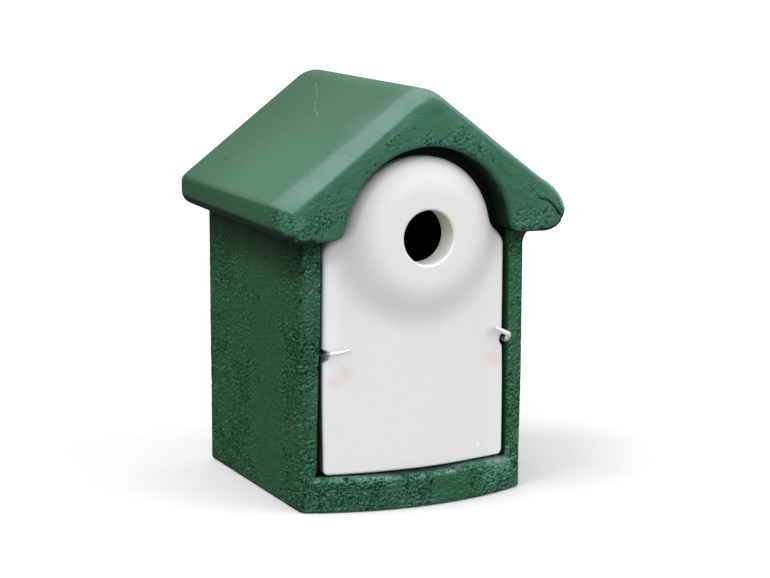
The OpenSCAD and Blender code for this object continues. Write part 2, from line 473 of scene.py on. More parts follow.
# ---------------------------------------------------------------- casting mesh
def make_casting():
    h = 0.64
    lo, hi = (-HALF_ROOF - 2.2, FRONT_ROOF - 2.2, -2.2), (HALF_ROOF + 2.2, DEPTH + 2.2, RIDGE + 2.2)
    ax = grid(lo, hi, h)
    d = fill_grid(solid, ax)
    band = np.flatnonzero(np.abs(d.ravel()) < 2.2 * h + 0.8)
    i, j, k = np.unravel_index(band, d.shape)
    flat = d.ravel()
    flat[band] = relief(ax[0][i], ax[1][j], ax[2][k], flat[band])

    # where the pits go
    step = 2
    v, q = nets(d[::step, ::step, ::step], np.array(lo), h * step)
    n = gradient(solid, v, 0.5)
    rate, deep = where(v[:, 0], v[:, 1], v[:, 2], n)
    rng = np.random.default_rng(77)
    area = (h * step) ** 2 / np.maximum(np.abs(n).max(1), 0.5)
    want = (0.002 + rate ** 1.8 * 0.072) * area * np.where(deep, 0.0, 1.0) * np.where(rate > 0.02, 1.0, 0.3)
    take = rng.random(len(v)) < want
    p, pn = v[take], n[take]
    p = p + rng.normal(0, 0.6, p.shape) * (1 - np.abs(pn))
    r = (0.42 + 0.36 * rng.random(len(p)) ** 1.6 + 0.4 * (rng.random(len(p)) < 0.03)) * np.where(p[:, 2] > 165, 0.9, 1.0)
    # a few single larger blow holes
    extra = np.array([(-10.8, FRONT_ROOF, 225.0, 0, -1, 0, 0.9), (6.0, FRONT_ROOF, 217.5, 0, -1, 0, 1.0), (-27.9, FRONT_ROOF, 217.3, 0, -1, 0, 0.8),
                      (-20.3, FRONT_ROOF, 222.1, 0, -1, 0, 0.75), (-41.0, FRONT_ROOF, 202.0, 0, -1, 0, 0.7), (20.0, FRONT_ROOF, 225.0, 0, -1, 0, 0.8),
                      (40.6, FRONT_ROOF, 204.9, 0, -1, 0, 0.75), (-52.8, FRONT_ROOF, 199.2, 0, -1, 0, 0.7), (-15.2, FRONT_ROOF, 218.5, 0, -1, 0, 0.7), (-73.0, 62, 118, -1, 0, 0, 1.3), (-73, 35, 66, -1, 0, 0, 1.2)])
    # and some on the left slope
    lone = np.array([(-45.2, 124.2, 0.75), (-73.6, 111.8, 0.85), (-50.4, 39.0, 0.6), (-54.3, 1.6, 0.7), (-68.9, -4.0, 0.75), (-82.3, -14.0, 0.7), (-33.8, 109.6, 0.55), (-62.0, 78.0, 0.5), (-84.6, 30.0, 0.6)])
    up = (-math.sin(PITCH), 0.0, math.cos(PITCH))
    extra = np.concatenate([extra, [(lx, ly, APEX + lx * math.tan(PITCH)) + up + (lr,) for lx, ly, lr in lone]])
    p = np.concatenate([p, extra[:, :3]])
    pn = np.concatenate([pn, extra[:, 3:6]])
    r = np.concatenate([r, extra[:, 6]])
    # each pit is one hollow with one or two smaller ones run into it
    sets = [(p + pn * (r * rng.uniform(-0.2, 0.35, len(p)))[:, None], r)]
    for chance, size in ((0.8, 0.72), (0.45, 0.6)):
        some = rng.random(len(p)) < chance
        side = rng.normal(size=p.shape)
        side -= pn * np.sum(side * pn, 1, keepdims=True)
        side /= np.maximum(np.linalg.norm(side, axis=1, keepdims=True), 1e-6)
        r2 = r * size * rng.uniform(0.8, 1.2, len(p))
        sets.append(((p + side * (r * rng.uniform(0.7, 1.25, len(p)))[:, None])[some], r2[some]))
    # a short crack under the round of the right eave
    cx = np.linspace(64.0, 86.5, 60)
    cz = np.interp(cx, [64.4, 68.9, 73.0, 78.5, 83.0, 85.5, 86.5], [190.1, 185.4, 180.8, 179.3, 175.0, 171.7, 170.3])
    back = np.linspace(FRONT_ROOF - 1, FRONT_ROOF + 14, 200)
    deep_in = solid(cx[:, None] + 0 * back, 0 * cx[:, None] + back, cz[:, None] + 0 * back) < 0
    cy = back[np.argmax(deep_in, axis=1)]
    sets.append((np.stack([cx, cy, cz], 1), 0.42 + 0.42 * smooth(66, 80, cx)))
    c = np.concatenate([a[0] for a in sets])
    r = np.concatenate([a[1] for a in sets])
    rad = 3
    base = np.round((c - np.array(lo)) / h).astype(int)
    shape = np.array(d.shape)
    for di in range(-rad, rad + 1):
        for dj in range(-rad, rad + 1):
            for dk in range(-rad, rad + 1):
                g = base + (di, dj, dk)
                ok = np.all((g >= 0) & (g < shape), axis=1)
                g = g[ok]
                pos = g * h + np.array(lo)
                dist = r[ok] - np.linalg.norm(pos - c[ok], axis=1)
                near = dist > -1.0
                g, dist = g[near], dist[near]
                idx = (g[:, 0] * shape[1] + g[:, 1]) * shape[2] + g[:, 2]
                np.maximum.at(flat, idx, dist.astype(np.float32))
    open_pinches(d)
    fill_bubbles(d)
    v, q = nets(d, np.array(lo), h)
    t = triangles(v, q)
    print("casting: pits", len(r), "triangles before thinning", len(t))
    ob = new_object("casting", v * MM, t)
    decimated(ob, 192000)
    me = ob.data
    co, tri = mesh_arrays(me)
    co = co / MM
    base_skin = lambda x, y, z: relief(x, y, z, solid(x, y, z))
    skin = base_skin(co[:, 0], co[:, 1], co[:, 2])
    n = gradient(solid, co, 0.5)
    rate, deep = where(co[:, 0], co[:, 1], co[:, 2], n)
    # how deep a point lies in a pit; the shader paints the pits near black as painted shade
    add_attribute(me, "pit", np.clip(-skin / 0.9, 0, 1))
    add_attribute(me, "porous", rate)
    # a pale film with painted sheen lies on the slopes, strongest on the round front edge, and on the sill's edge: the
    # faces turned up are made paler, partly as painted light
    x, y, z = co.T
    add_attribute(me, "front", smooth(0.12, 0.9, -n[:, 1] + 0.22 * fbm(x, y, z, 4.0, 71, 2)))
    back = y - FRONT_ROOF
    ax = np.abs(x)
    right = smooth(-8, 6, x)
    slopes = (1 - right) * smooth(0.28, 0.5, n[:, 2]) + right * smooth(0.74, 0.42, -n[:, 1]) * smooth(0.25, 0.5, 0.5 * n[:, 0] + 0.7 * n[:, 2])
    slopes = slopes * (z > 172)
    add_attribute(me, "slope", slopes)
    patches = fbm(x, y, z, 7.0, 61, 3)
    out = n[:, 1] < -0.3
    film_and_sheen = smooth(0.1, 0.45, n[:, 2]) * smooth(FLOOR_T - 6, FLOOR_T - 2, z) * (z < FLOOR_T + 1.5) * (y < -1) * (ax < 66)
    film_and_sheen = film_and_sheen * np.clip(0.62 + 0.7 * patches, 0, 1)
    # the right half of the sill and front is made paler too; painted sheen at the lower corner of the left eave and a
    # painted highlight near the apex
    paler_right = smooth(15, 55, x) * smooth(1, 16, z) * smooth(40, 24, z) * out * np.clip(0.30 + 0.9 * patches, 0, 1)
    tip = smooth(12.0, 3.0, np.hypot(x + 86.5, (z - 177.5) * 0.8)) * smooth(16, 6, back) * np.clip(0.65 + 0.9 * patches, 0, 1)
    high = 0.18 * smooth(203, 232, z) * (n[:, 1] < -0.5)
    some = 0.10 * smooth(10, 60, x) * out * (z < 175)
    # and a painted highlight on the outer edge of the right half's front
    tip_x = HALF_ROOF - 0.4 - 23.0
    tip_z = APEX - tip_x * math.tan(PITCH) - 23.0 / math.cos(PITCH)
    bend = ((x - tip_x) * math.cos(PITCH) - (z - tip_z) * math.sin(PITCH) > 0) & (z > tip_z)
    inward = np.where(bend, np.hypot(x - tip_x, z - tip_z) - 23.0, np.maximum((z - APEX + x * math.tan(PITCH)) * math.cos(PITCH), x - HALF_ROOF + 0.4))
    rim_sheen = smooth(-4.2, -0.8, inward) * smooth(0, 22, x) * (z > 174) * smooth(20, 13, back) * (1.5 + 0.5 * patches)
    film_and_sheen = np.max([0.95 * film_and_sheen, 0.8 * paler_right, 0.5 * tip, high, some, rim_sheen], axis=0)
    add_attribute(me, "film_and_sheen", film_and_sheen)
    # painted shade: the colour is darkened the further a point lies back in the door recess or the arch, or under the
    # eaves
    ax = np.abs(x)
    rebate, nest = voids(x, y, z)
    hole = np.minimum(rebate, nest)
    depth_body = -(np.hypot(x, y - (FRONT_R - BOW)) - FRONT_R)
    hooded = (z > underside(x, y) - 1.0)
    foot = smooth(95, 55, z)
    painted_shade = np.where(hooded, smooth(0.2, 6, back), np.where(x > 0, smooth(2.8 + 1.4 * foot, 10 + 2.0 * foot, depth_body), smooth(1.0, 5.5, depth_body))) * smooth(2.6, 0.6, hole)
    # painted shade on the faces turned down at the sides, under the eaves
    painted_shade = np.maximum(painted_shade, np.where((ax > HALF_W - 1) & (z < 172), 0.95 * smooth(0.05, -0.4, n[:, 2]), 0))
    # painted shade where the sill runs back into the rebate
    sill = smooth(0.8, 4.0, depth_body) * smooth(FLOOR_T - 3.2, FLOOR_T - 1.2, z) * (z < FLOOR_T + 1) * (ax < 64) * (y < 30)
    painted_shade = np.maximum(painted_shade, sill * (0.25 + 0.65 * smooth(34, 18, np.abs(x + 2))))
    # painted shadow of the eaves on the top of the side walls and on the front strips beside the door
    below = underside(x, y) - z
    painted_shade = np.maximum(painted_shade, (0.52 * smooth(34, 14, below) + 0.36 * smooth(17, 2, below)) * (below > -1) * (ax > HALF_W - 2) * (np.abs(n[:, 0]) > 0.5))
    painted_shade = np.maximum(painted_shade, 0.62 * smooth(17, 2, below) * (below > -1) * out * (ax > 60))
    # painted shade on the left eave's faces turned to the left, darker towards the back
    painted_shade = np.maximum(painted_shade, (0.06 + 0.32 * smooth(40, 160, back)) * smooth(0.6, 0.9, -n[:, 0]) * (z > 172))
    # painted shade in the hollow just under the apex
    painted_shade = np.maximum(painted_shade, 0.20 * smooth(9.0, 1.0, np.hypot((x - 4.0) * 0.75, (z - 236.5) * 1.3)) * smooth(0.75, 0.95, -n[:, 1]))
    add_attribute(me, "painted_shade", painted_shade)
    mid = co[tri].mean(1)
    fn = gradient(solid, mid, 0.8)
    rebate, nest = voids(mid[:, 0], mid[:, 1], mid[:, 2])
    group = (np.minimum(rebate, nest) < 0.75).astype(int)
    atlas(me, fn, group)
    # the faces of the box below the eaves are the open, rough ones
    low = (mid[:, 2] < underside(mid[:, 0], mid[:, 1]) - 1.0) | (mid[:, 1] > DEPTH - 0.9)
    me.polygons.foreach_set("material_index", low.astype(np.int32))
    me.polygons.foreach_set("use_smooth", np.ones(len(me.polygons), bool))
    # outside the pits the shading follows the true skin, not the long triangles that are left of it
    own = np.empty(len(me.vertices) * 3, np.float32)
    me.vertex_normals.foreach_get("vector", own)
    own = own.reshape(-1, 3)
    skin_n = gradient(base_skin, co, 0.3)
    keep = smooth(0.2, 0.04, np.abs(skin))[:, None] * (np.sum(own * skin_n, 1, keepdims=True) > 0.5)
    shown = own * (1 - keep) + skin_n * keep
    shown /= np.linalg.norm(shown, axis=1, keepdims=True)
    me.normals_split_custom_set_from_vertices([tuple(v) for v in shown.tolist()])
    me.transform(Matrix.Translation((0, SHIFT * MM, 0)))
    me.update()
    return ob


# ---------------------------------------------------------------- front panel
PANEL_R, PANEL_FACE, PANEL_T = 250.0, 10.3, 8.3
PANEL_HW, PANEL_X, PANEL_Z0, SHOULDER, HEAD_R, HEAD_Z = 59.4, -0.4, 22.0, 160.5, 47.0, 161.0
BOSS_FACE, HOLE_R, HOLE_X, HOLE_Z = 19.1, 16.0, 0.7, 161.4
BOSS_IN, BOSS_OUT = 24.0, 60.0


def panel_outline(x, z):
    belly = 0.5 * smooth(25, 70, z) * smooth(160, 110, z)
    px = x - PANEL_X
    r0 = np.where(z > 90, 9.0, 3.6)
    half = PANEL_HW + belly * (px < 0)
    qx, qz = np.abs(px) - (half - r0), np.abs(z - (PANEL_Z0 + SHOULDER) / 2) - ((SHOULDER - PANEL_Z0) / 2 - r0)
    qz = qz + 0.8 * smooth(0, 50, x) * smooth(60, 30, z)
    rect = np.hypot(np.maximum(qx, 0), np.maximum(qz, 0)) + np.minimum(np.maximum(qx, qz), 0) - r0
    head = np.hypot(x, z - HEAD_Z) - HEAD_R
    return runi(rect, head, 10.0)


def panel_solid(x, y, z):
    outline = panel_outline(x, z)
    r = np.hypot(x, z - HOLE_Z)
    plate_y = STOP_Y - np.sqrt(PANEL_R ** 2 - x * x)
    t = np.clip((r - BOSS_IN) / (BOSS_OUT - BOSS_IN), 0, 1)
    w = t * t * t * (t * (t * 6 - 15) + 10)
    face = -BOSS_FACE + (plate_y + BOSS_FACE) * w
    dw = 30 * t * t * (t - 1) ** 2 / (BOSS_OUT - BOSS_IN)
    steep = np.sqrt(1 + (dw * 8.8) ** 2 + (x / PANEL_R) ** 2)
    front = (face - y) / steep
    back = (PANEL_R - PANEL_T) - np.hypot(x, y - STOP_Y)
    out = rint(outline, front, 1.6 + 1.8 * smooth(60, 110, z) + 1.6 * smooth(150, 175, z))
    out = rint(out, back, 1.6)
    out = rint(out, HOLE_R - np.hypot(x - HOLE_X, z - HOLE_Z), 1.6)
    for sx, hz in ((-1, HOOK_L_Z), (1, HOOK_R_Z)):
        out = rint(out, 3.4 - np.hypot(x - sx * HOOK_X, z - hz), 1.0)
    return out


def make_panel():
    h = 0.95
    lo, hi = (-61.5, -21.5, 19.5), (61.5, 9.5, 210.5)
    ax = grid(lo, hi, h)
    d = fill_grid(panel_solid, ax)
    open_pinches(d)
    v, q = nets(d, np.array(lo), h)
    for _ in range(3):
        n = gradient(panel_solid, v, 0.2)
        v = v - n * np.clip(panel_solid(v[:, 0], v[:, 1], v[:, 2]), -0.3, 0.3)[:, None] * 0.9
    ob = new_object("front_panel_cast", v * MM, triangles(v, q))
    me = ob.data
    co, tri = mesh_arrays(me)
    mid = co[tri].mean(1) / MM
    fn = gradient(panel_solid, mid, 0.6)
    atlas(me, fn, np.zeros(len(mid), int))
    me.polygons.foreach_set("use_smooth", np.ones(len(me.polygons), bool))
    me.transform(Matrix.Translation((0, SHIFT * MM, 0)))
    co, tri = mesh_arrays(me)
    add_attribute(me, "bore", smooth(17.2, 16.2, np.hypot(v[:, 0] - HOLE_X, v[:, 2] - HOLE_Z)))
    vn = gradient(panel_solid, v, 0.15)
    # painted shade: its edges are darkened as the shaded gap they stand in
    add_attribute(me, "gap", smooth(-2.6, -0.9, panel_outline(v[:, 0], v[:, 2])) * smooth(0.72, 0.35, -vn[:, 1]) * smooth(168, 145, v[:, 2]))
    me.normals_split_custom_set_from_vertices([tuple(a) for a in vn])
    me.update()
    return ob


# ---------------------------------------------------------------- hooks
def make_hook(name, side, z, rise, arm, degrees, lift, wire, thin):
    """An L hook bent from wire: a shank that rises a little to a bend, and an arm that curves up slightly along its
    length. Swept along its centre line, with a rounded free end and a flat screwed end."""
    out_y, in_y, crank = -9.5, 22.0, -5.5
    shank_x = side * HOOK_X
    pts, rad = [], []
    for y in np.linspace(in_y, crank + 1.0, 24):
        pts.append((shank_x, y, z))
        rad.append(wire * (0.92 + 0.08 * math.cos(y * 2 * math.pi / 1.25)) if y > 2 else wire)
    elbow = np.array([shank_x, out_y, z + rise])
    low = np.array([shank_x, crank, z])
    leg = (elbow - low) / np.linalg.norm(elbow - low)
    bend = 1.5
    line, s = [], bend
    while s < arm - wire * 0.5:
        a = math.radians(degrees + lift * (s / arm - 0.5))
        line.append((elbow if not line else line[-1]) + np.array([-side * math.cos(a), 0, math.sin(a)]) * (bend if not line else 1.0))
        s += 1.0
    first = (line[0] - elbow) / np.linalg.norm(line[0] - elbow)
    for t in np.linspace(0, 1, 5)[1:]:
        p0, p1, p2 = low + np.array([0, 1.0, 0]), low, low + leg * 1.2
        pts.append(tuple((1 - t) ** 2 * p0 + 2 * t * (1 - t) * p1 + t * t * p2))
        rad.append(wire)
    for t in np.linspace(0, 1, 9):
        p0, p1, p2 = elbow - leg * bend * 1.2, elbow, elbow + first * bend
        pts.append(tuple((1 - t) ** 2 * p0 + 2 * t * (1 - t) * p1 + t * t * p2))
        rad.append(wire)
    arm_dir = (line[-1] - line[-2]) / np.linalg.norm(line[-1] - line[-2])
    for i, p in enumerate(line[1:]):
        pts.append(tuple(p))
        rad.append(wire * (1 - thin * min(1, i / len(line) * 1.1)))
    pts = [np.array(p, float) for p in pts]
    # round the free end
    last, d = pts[-1], arm_dir
    for t in np.linspace(0.25, 1, 5):
        pts.append(last + d * wire * 0.55 * math.sin(t * math.pi / 2))
        rad.append(wire * (1 - thin) * math.cos(t * math.pi / 2 * 0.985))
    m = 20
    verts, faces = [], []
    ref = np.array([0, 0, 1.0])
    for i, p in enumerate(pts):
        a0 = pts[max(i - 1, 0)]
        b0 = pts[min(i + 1, len(pts) - 1)]
        d = (b0 - a0) / np.linalg.norm(b0 - a0)
        u = ref - d * (ref @ d)
        if np.linalg.norm(u) < 0.2:
            u = np.array([0, 1.0, 0]) - d * d[1]
        u /= np.linalg.norm(u)
        w = np.cross(d, u)
        ref = u
        for k in range(m):
            ang = 2 * math.pi * k / m
            verts.append(p + rad[i] * (math.cos(ang) * u + math.sin(ang) * w))
    rows = len(pts)
    for i in range(rows - 1):
        for k in range(m):
            k2 = (k + 1) % m
            faces.append((i * m + k, (i + 1) * m + k, (i + 1) * m + k2, i * m + k2))
    verts = np.array(verts)
    head = len(verts)
    verts = np.vstack([verts, pts[0], pts[-1]])
    tri = []
    for a4 in faces:
        tri += [(a4[0], a4[1], a4[2]), (a4[0], a4[2], a4[3])]
    for k in range(m):
        k2 = (k + 1) % m
        tri.append((head, k, k2))
        tri.append((head + 1, (rows - 1) * m + k2, (rows - 1) * m + k))
    tri = np.array(tri)
    p = verts[tri]
    vol = np.einsum("ij,ij->", p[:, 0], np.cross(p[:, 1], p[:, 2]))
    if vol < 0:
        tri = tri[:, ::-1]
    ob = new_object(name, (verts + np.array([0, SHIFT, 0])) * MM, tri)
    ob.data.polygons.foreach_set("use_smooth", np.ones(len(ob.data.polygons), bool))
    return ob


# ---------------------------------------------------------------- materials
class Nodes:
    """Short hand for building a node tree."""

    def __init__(self, name):
        self.mat = bpy.data.materials.new(name)
        self.mat.use_nodes = True
        self.t = self.mat.node_tree
        self.t.nodes.clear()
        self.out = self.add("ShaderNodeOutputMaterial")
        self.bsdf = self.add("ShaderNodeBsdfPrincipled")
        self.t.links.new(self.bsdf.outputs[0], self.out.inputs["Surface"])
        tc = self.add("ShaderNodeTexCoord")
        self.pos = self.add("ShaderNodeMapping", Scale=(1000, 1000, 1000))
        self.link(tc.outputs["Object"], self.pos.inputs["Vector"])
        self.pos = self.pos.outputs["Vector"]

    def add(self, kind, **inputs):
        n = self.t.nodes.new(kind)
        for k, v in inputs.items():
            n.inputs[k.replace("_", " ")].default_value = v
        return n

    def link(self, a, b):
        self.t.links.new(a, b)

    def put(self, node, key, value):
        if hasattr(value, "is_output"):
            self.link(value, node.inputs[key])
        else:
            node.inputs[key].default_value = value

    def attribute(self, name):
        n = self.add("ShaderNodeAttribute")
        n.attribute_name = name
        return n.outputs["Fac"]

    def noise(self, size, detail=2.0, rough=0.5, distort=0.0, at=None):
        n = self.add("ShaderNodeTexNoise", Scale=1.0 / size, Detail=detail, Roughness=rough, Distortion=distort)
        self.link(at or self.pos, n.inputs["Vector"])
        return n.outputs["Fac"]

    def cells(self, size, feature="F1", at=None, random=1.0):
        n = self.add("ShaderNodeTexVoronoi", Scale=1.0 / size, Randomness=random)
        n.feature = feature
        self.link(at or self.pos, n.inputs["Vector"])
        return n

    def math(self, op, a, b=0.0, c=0.0, clamp=False):
        n = self.add("ShaderNodeMath")
        n.operation = op
        n.use_clamp = clamp
        self.put(n, 0, a)
        self.put(n, 1, b)
        if op in ("MULTIPLY_ADD", "SMOOTH_MIN", "SMOOTH_MAX"):
            self.put(n, 2, c)
        return n.outputs[0]

    def ramp(self, value, a, b, to=(0.0, 1.0)):
        n = self.add("ShaderNodeMapRange")
        n.interpolation_type = "SMOOTHSTEP"
        self.put(n, "Value", value)
        self.put(n, "From Min", a)
        self.put(n, "From Max", b)
        self.put(n, "To Min", to[0])
        self.put(n, "To Max", to[1])
        return n.outputs["Result"]

    def mix(self, fac, a, b, blend="MIX"):
        n = self.add("ShaderNodeMix")
        n.data_type = "RGBA"
        n.blend_type = blend
        ins = [s for s in n.inputs if s.name in ("Factor", "A", "B") and s.enabled]
        by = {}
        for s in n.inputs:
            if s.enabled:
                by[s.name] = s
        for key, v in (("Factor", fac), ("A", a), ("B", b)):
            s = by[key]
            if hasattr(v, "is_output"):
                self.link(v, s)
            elif key == "Factor":
                s.default_value = v
            else:
                s.default_value = (*v, 1.0)
        return [o for o in n.outputs if o.enabled][0]

    def scrape(self, a, b, wide):
        """1 on the line from a to b and 0 beyond its width."""
        a, b = np.array(a) + (0, SHIFT, 0), np.array(b) + (0, SHIFT, 0)
        size = float(np.linalg.norm(b - a))
        ways = []
        for op in ("CROSS_PRODUCT", "DOT_PRODUCT"):
            off = self.add("ShaderNodeVectorMath")
            off.operation = "SUBTRACT"
            self.link(self.pos, off.inputs[0])
            off.inputs[1].default_value = tuple(a)
            to = self.add("ShaderNodeVectorMath")
            to.operation = op
            self.link(off.outputs[0], to.inputs[0])
            to.inputs[1].default_value = tuple((b - a) / size)
            ways.append(to)
        gap = self.add("ShaderNodeVectorMath")
        gap.operation = "LENGTH"
        self.link(ways[0].outputs[0], gap.inputs[0])
        along = ways[1].outputs["Value"]
        inside = self.math("MULTIPLY", self.ramp(along, -0.5, 0.5), self.ramp(along, size + 0.5, size - 0.5))
        return self.math("MULTIPLY", self.ramp(gap.outputs["Value"], wide, wide * 0.4), inside)

    def bump(self, height, strength, distance, normal=None):
        n = self.add("ShaderNodeBump", Strength=strength, Distance=distance)
        self.link(height, n.inputs["Height"])
        if normal is not None:
            self.link(normal, n.inputs["Normal"])
        return n.outputs["Normal"]


def green_stone(name, tones, pore_gain, rough, specular, grit, grain_glint_gain):
    """Green cast stone. tones are for the sides, the front and a slow patchiness. pore_gain says how open the skin is,
    grit how coarse it looks and grain_glint_gain how strong the painted highlights on its grains are."""
    s = Nodes(name)
    pit, porous = s.attribute("pit"), s.attribute("porous")
    front, film_and_sheen, painted_shade = s.attribute("front"), s.attribute("film_and_sheen"), s.attribute("painted_shade")
    xyz = s.add("ShaderNodeSeparateXYZ")
    s.link(s.pos, xyz.inputs[0])
    large = s.noise(30, 3.0, 0.55)
    medium = s.noise(6, 3.0, 0.6)
    small = s.noise(1.5, 2.0, 0.6)
    side_tone, front_tone, patch = tones
    col = s.mix(front, side_tone, front_tone)
    col = s.mix(s.math("MULTIPLY", s.ramp(large, 0.40, 0.62), 0.5), col, patch)
    col = s.mix(s.math("MULTIPLY", s.ramp(medium, 0.42, 0.68), 0.4), col, tuple(v * 0.78 for v in patch))
    # a pale film with painted sheen lies on the slopes, strongest on the round front edge and fading to the back; the
    # slopes are made paler as if more brightly lit
    back = s.math("SUBTRACT", xyz.outputs["Y"], SHIFT + FRONT_ROOF)
    lie = s.math("MULTIPLY_ADD", s.ramp(back, 166.0, 60.0), 0.26, 0.04)
    wave = s.math("MULTIPLY_ADD", s.math("SUBTRACT", s.noise(17, 2.0, 0.5), 0.5), 13.0, back)
    lie = s.math("MULTIPLY_ADD", s.ramp(wave, 36.0, 16.0), 0.20, lie)
    lie = s.math("MULTIPLY_ADD", s.math("MULTIPLY", s.ramp(wave, 25.0, 8.0), s.ramp(xyz.outputs["Z"], 176.0, 198.0, (0.35, 1.0))), 0.50, lie)
    lie = s.math("MULTIPLY", lie, s.ramp(back, 0.0, 2.6, (0.4, 1.0)))
    less = s.math("MULTIPLY", s.ramp(back, 11.0, 18.0), s.ramp(xyz.outputs["Z"], 198.0, 232.0))
    lie = s.math("MULTIPLY", lie, s.math("MULTIPLY_ADD", less, -0.38, 1.0))
    lobe = s.add("ShaderNodeVectorMath")
    lobe.operation = "DISTANCE"
    s.link(s.pos, lobe.inputs[0])
    lobe.inputs[1].default_value = (-32.5, SHIFT + 5.0, 227.5)
    lie = s.math("MULTIPLY_ADD", s.ramp(s.math("MULTIPLY_ADD", s.math("SUBTRACT", s.noise(9, 2.0, 0.5), 0.5), 8.0, lobe.outputs["Value"]), 15.0, 7.0), 0.16, lie)
    lie = s.math("MULTIPLY", s.attribute("slope"), lie)
    slope_on = s.ramp(lie, 0.0, 0.32)
    film_and_sheen = s.math("MAXIMUM", film_and_sheen, lie)
    film_and_sheen_on = s.ramp(film_and_sheen, 0.0, 0.32)
    # the pale film and its painted sheen laid on, palest where the painted highlight on the front edges is strongest
    col = s.mix(film_and_sheen_on, col, (0.0445, 0.160, 0.093))
    haze_and_sheen = s.math("MULTIPLY", s.ramp(film_and_sheen, 0.32, 1.0), s.ramp(s.noise(18, 3.0, 0.6), 0.2, 0.6, (0.8, 1.0)))
    col = s.mix(haze_and_sheen, col, (0.137, 0.256, 0.213))
    col = s.mix(s.ramp(film_and_sheen, 1.0, 2.0), col, (0.23, 0.33, 0.28))
    # two thin pale scrapes on the left slope
    for a, b, wide in (((-14.1, 109.7, 241.4), (-23.0, 87.0, 234.7), 0.7), ((-26.2, 83.7, 232.4), (-30.6, 74.6, 229.1), 0.8), ((-30.6, 74.6, 229.1), (-33.6, 62.1, 226.8), 0.6), ((-33.5, 63.0, 226.9), (-33.9, 61.4, 226.6), 1.1)):
        col = s.mix(s.math("MULTIPLY", s.scrape(a, b, wide), s.ramp(small, 0.35, 0.55, (0.0, 0.42))), col, (0.20, 0.34, 0.26))
    # grains and pores: a ragged field, cut off low for the pores and high for the painted glints on the grains; the
    # pores are painted dark as the shade inside them
    warp = s.add("ShaderNodeTexNoise", Scale=0.55, Detail=1.0)
    s.link(s.pos, warp.inputs["Vector"])
    sc = s.add("ShaderNodeVectorMath")
    sc.operation = "SCALE"
    s.link(warp.outputs["Color"], sc.inputs[0])
    sc.inputs["Scale"].default_value = 1.6
    ad = s.add("ShaderNodeVectorMath")
    ad.operation = "ADD"
    s.link(s.pos, ad.inputs[0])
    s.link(sc.outputs[0], ad.inputs[1])
    at = ad.outputs[0]
    squash = s.add("ShaderNodeVectorMath")
    squash.operation = "MULTIPLY"
    s.link(at, squash.inputs[0])
    squash.inputs[1].default_value = (0.66, 0.42, 0.9)
    above = s.add("ShaderNodeVectorMath")
    above.operation = "ADD"
    s.link(squash.outputs[0], above.inputs[0])
    above.inputs[1].default_value = (-0.3, 0.0, 0.85)
    field = s.noise(1.15, 1.5, 0.5, at=at)
    slow = s.noise(4.5, 2.0, 0.5)
    value = s.math("MULTIPLY_ADD", s.math("SUBTRACT", slow, 0.5), 0.45, field)
    openness = s.math("MULTIPLY", porous, pore_gain, clamp=True)
    cut = s.math("MULTIPLY_ADD", openness, 0.20, 0.235)
    hole = s.ramp(value, cut, s.math("SUBTRACT", cut, 0.075))
    dark = s.math("MAXIMUM", hole, s.ramp(pit, 0.12, 0.7))
    grain = s.noise(1.4, 2.0, 0.6, at=squash.outputs[0])
    # painted light and shade on the grains: the upper side of each grain is made paler and the under side darker, as if
    # lit from above
    grain_light_and_shade = s.math("SUBTRACT", grain, s.noise(1.4, 2.0, 0.6, at=above.outputs[0]))
    amount = s.math("MULTIPLY_ADD", s.ramp(porous, 0.015, 0.10), grit * 0.15, s.math("MULTIPLY", openness, grit))
    amount = s.math("MULTIPLY", amount, s.math("MULTIPLY_ADD", slope_on, -0.75, 1.0), clamp=True)
    amount = s.math("MULTIPLY", amount, s.math("MULTIPLY_ADD", painted_shade, -0.8, 1.0), clamp=True)
    shade = s.math("MULTIPLY_ADD", s.math("SUBTRACT", grain, 0.5), 1.3, s.math("MULTIPLY", grain_light_and_shade, 2.6))
    shade = s.math("MAXIMUM", s.math("MULTIPLY_ADD", shade, amount, 1.03), 0.2)
    grain_glint = s.math("MULTIPLY", s.ramp(grain_light_and_shade, 0.10, 0.30), s.ramp(amount, 0.1, 0.7))
    grain_glint = s.math("MULTIPLY", grain_glint, s.math("SUBTRACT", 1.0, dark))
    # the gable was struck off with a float, which left long marks along the slopes
    far = s.math("ABSOLUTE", xyz.outputs["X"])
    along = s.math("SUBTRACT", s.math("MULTIPLY", far, math.cos(PITCH)), s.math("MULTIPLY", xyz.outputs["Z"], math.sin(PITCH)))
    across = s.math("ADD", s.math("MULTIPLY", far, math.sin(PITCH)), s.math("MULTIPLY", xyz.outputs["Z"], math.cos(PITCH)))
    marks = s.add("ShaderNodeCombineXYZ")
    s.link(s.math("MULTIPLY", along, 0.24), marks.inputs["X"])
    s.link(across, marks.inputs["Z"])
    stroke = s.noise(3.2, 2.0, 0.6, at=marks.outputs[0])
    struck = s.math("MULTIPLY", s.math("MULTIPLY", front, s.ramp(xyz.outputs["Z"], 166.0, 190.0)), s.math("MULTIPLY_ADD", film_and_sheen_on, -1.0, 1.0), clamp=True)
    shade = s.math("MULTIPLY_ADD", s.math("MULTIPLY", s.math("SUBTRACT", stroke, 0.5), struck), 0.5, shade)
    tone = s.add("ShaderNodeVectorMath")
    tone.operation = "SCALE"
    s.link(col, tone.inputs[0])
    s.link(shade, tone.inputs["Scale"])
    # painted highlights: pale glints on the upper sides of the grains
    col = s.mix(s.math("MULTIPLY", grain_glint, grain_glint_gain), tone.outputs[0], (0.105, 0.30, 0.20))
    # painted shade: the pores near black
    col = s.mix(s.math("MULTIPLY", dark, 0.9), col, (0.003, 0.018, 0.010))
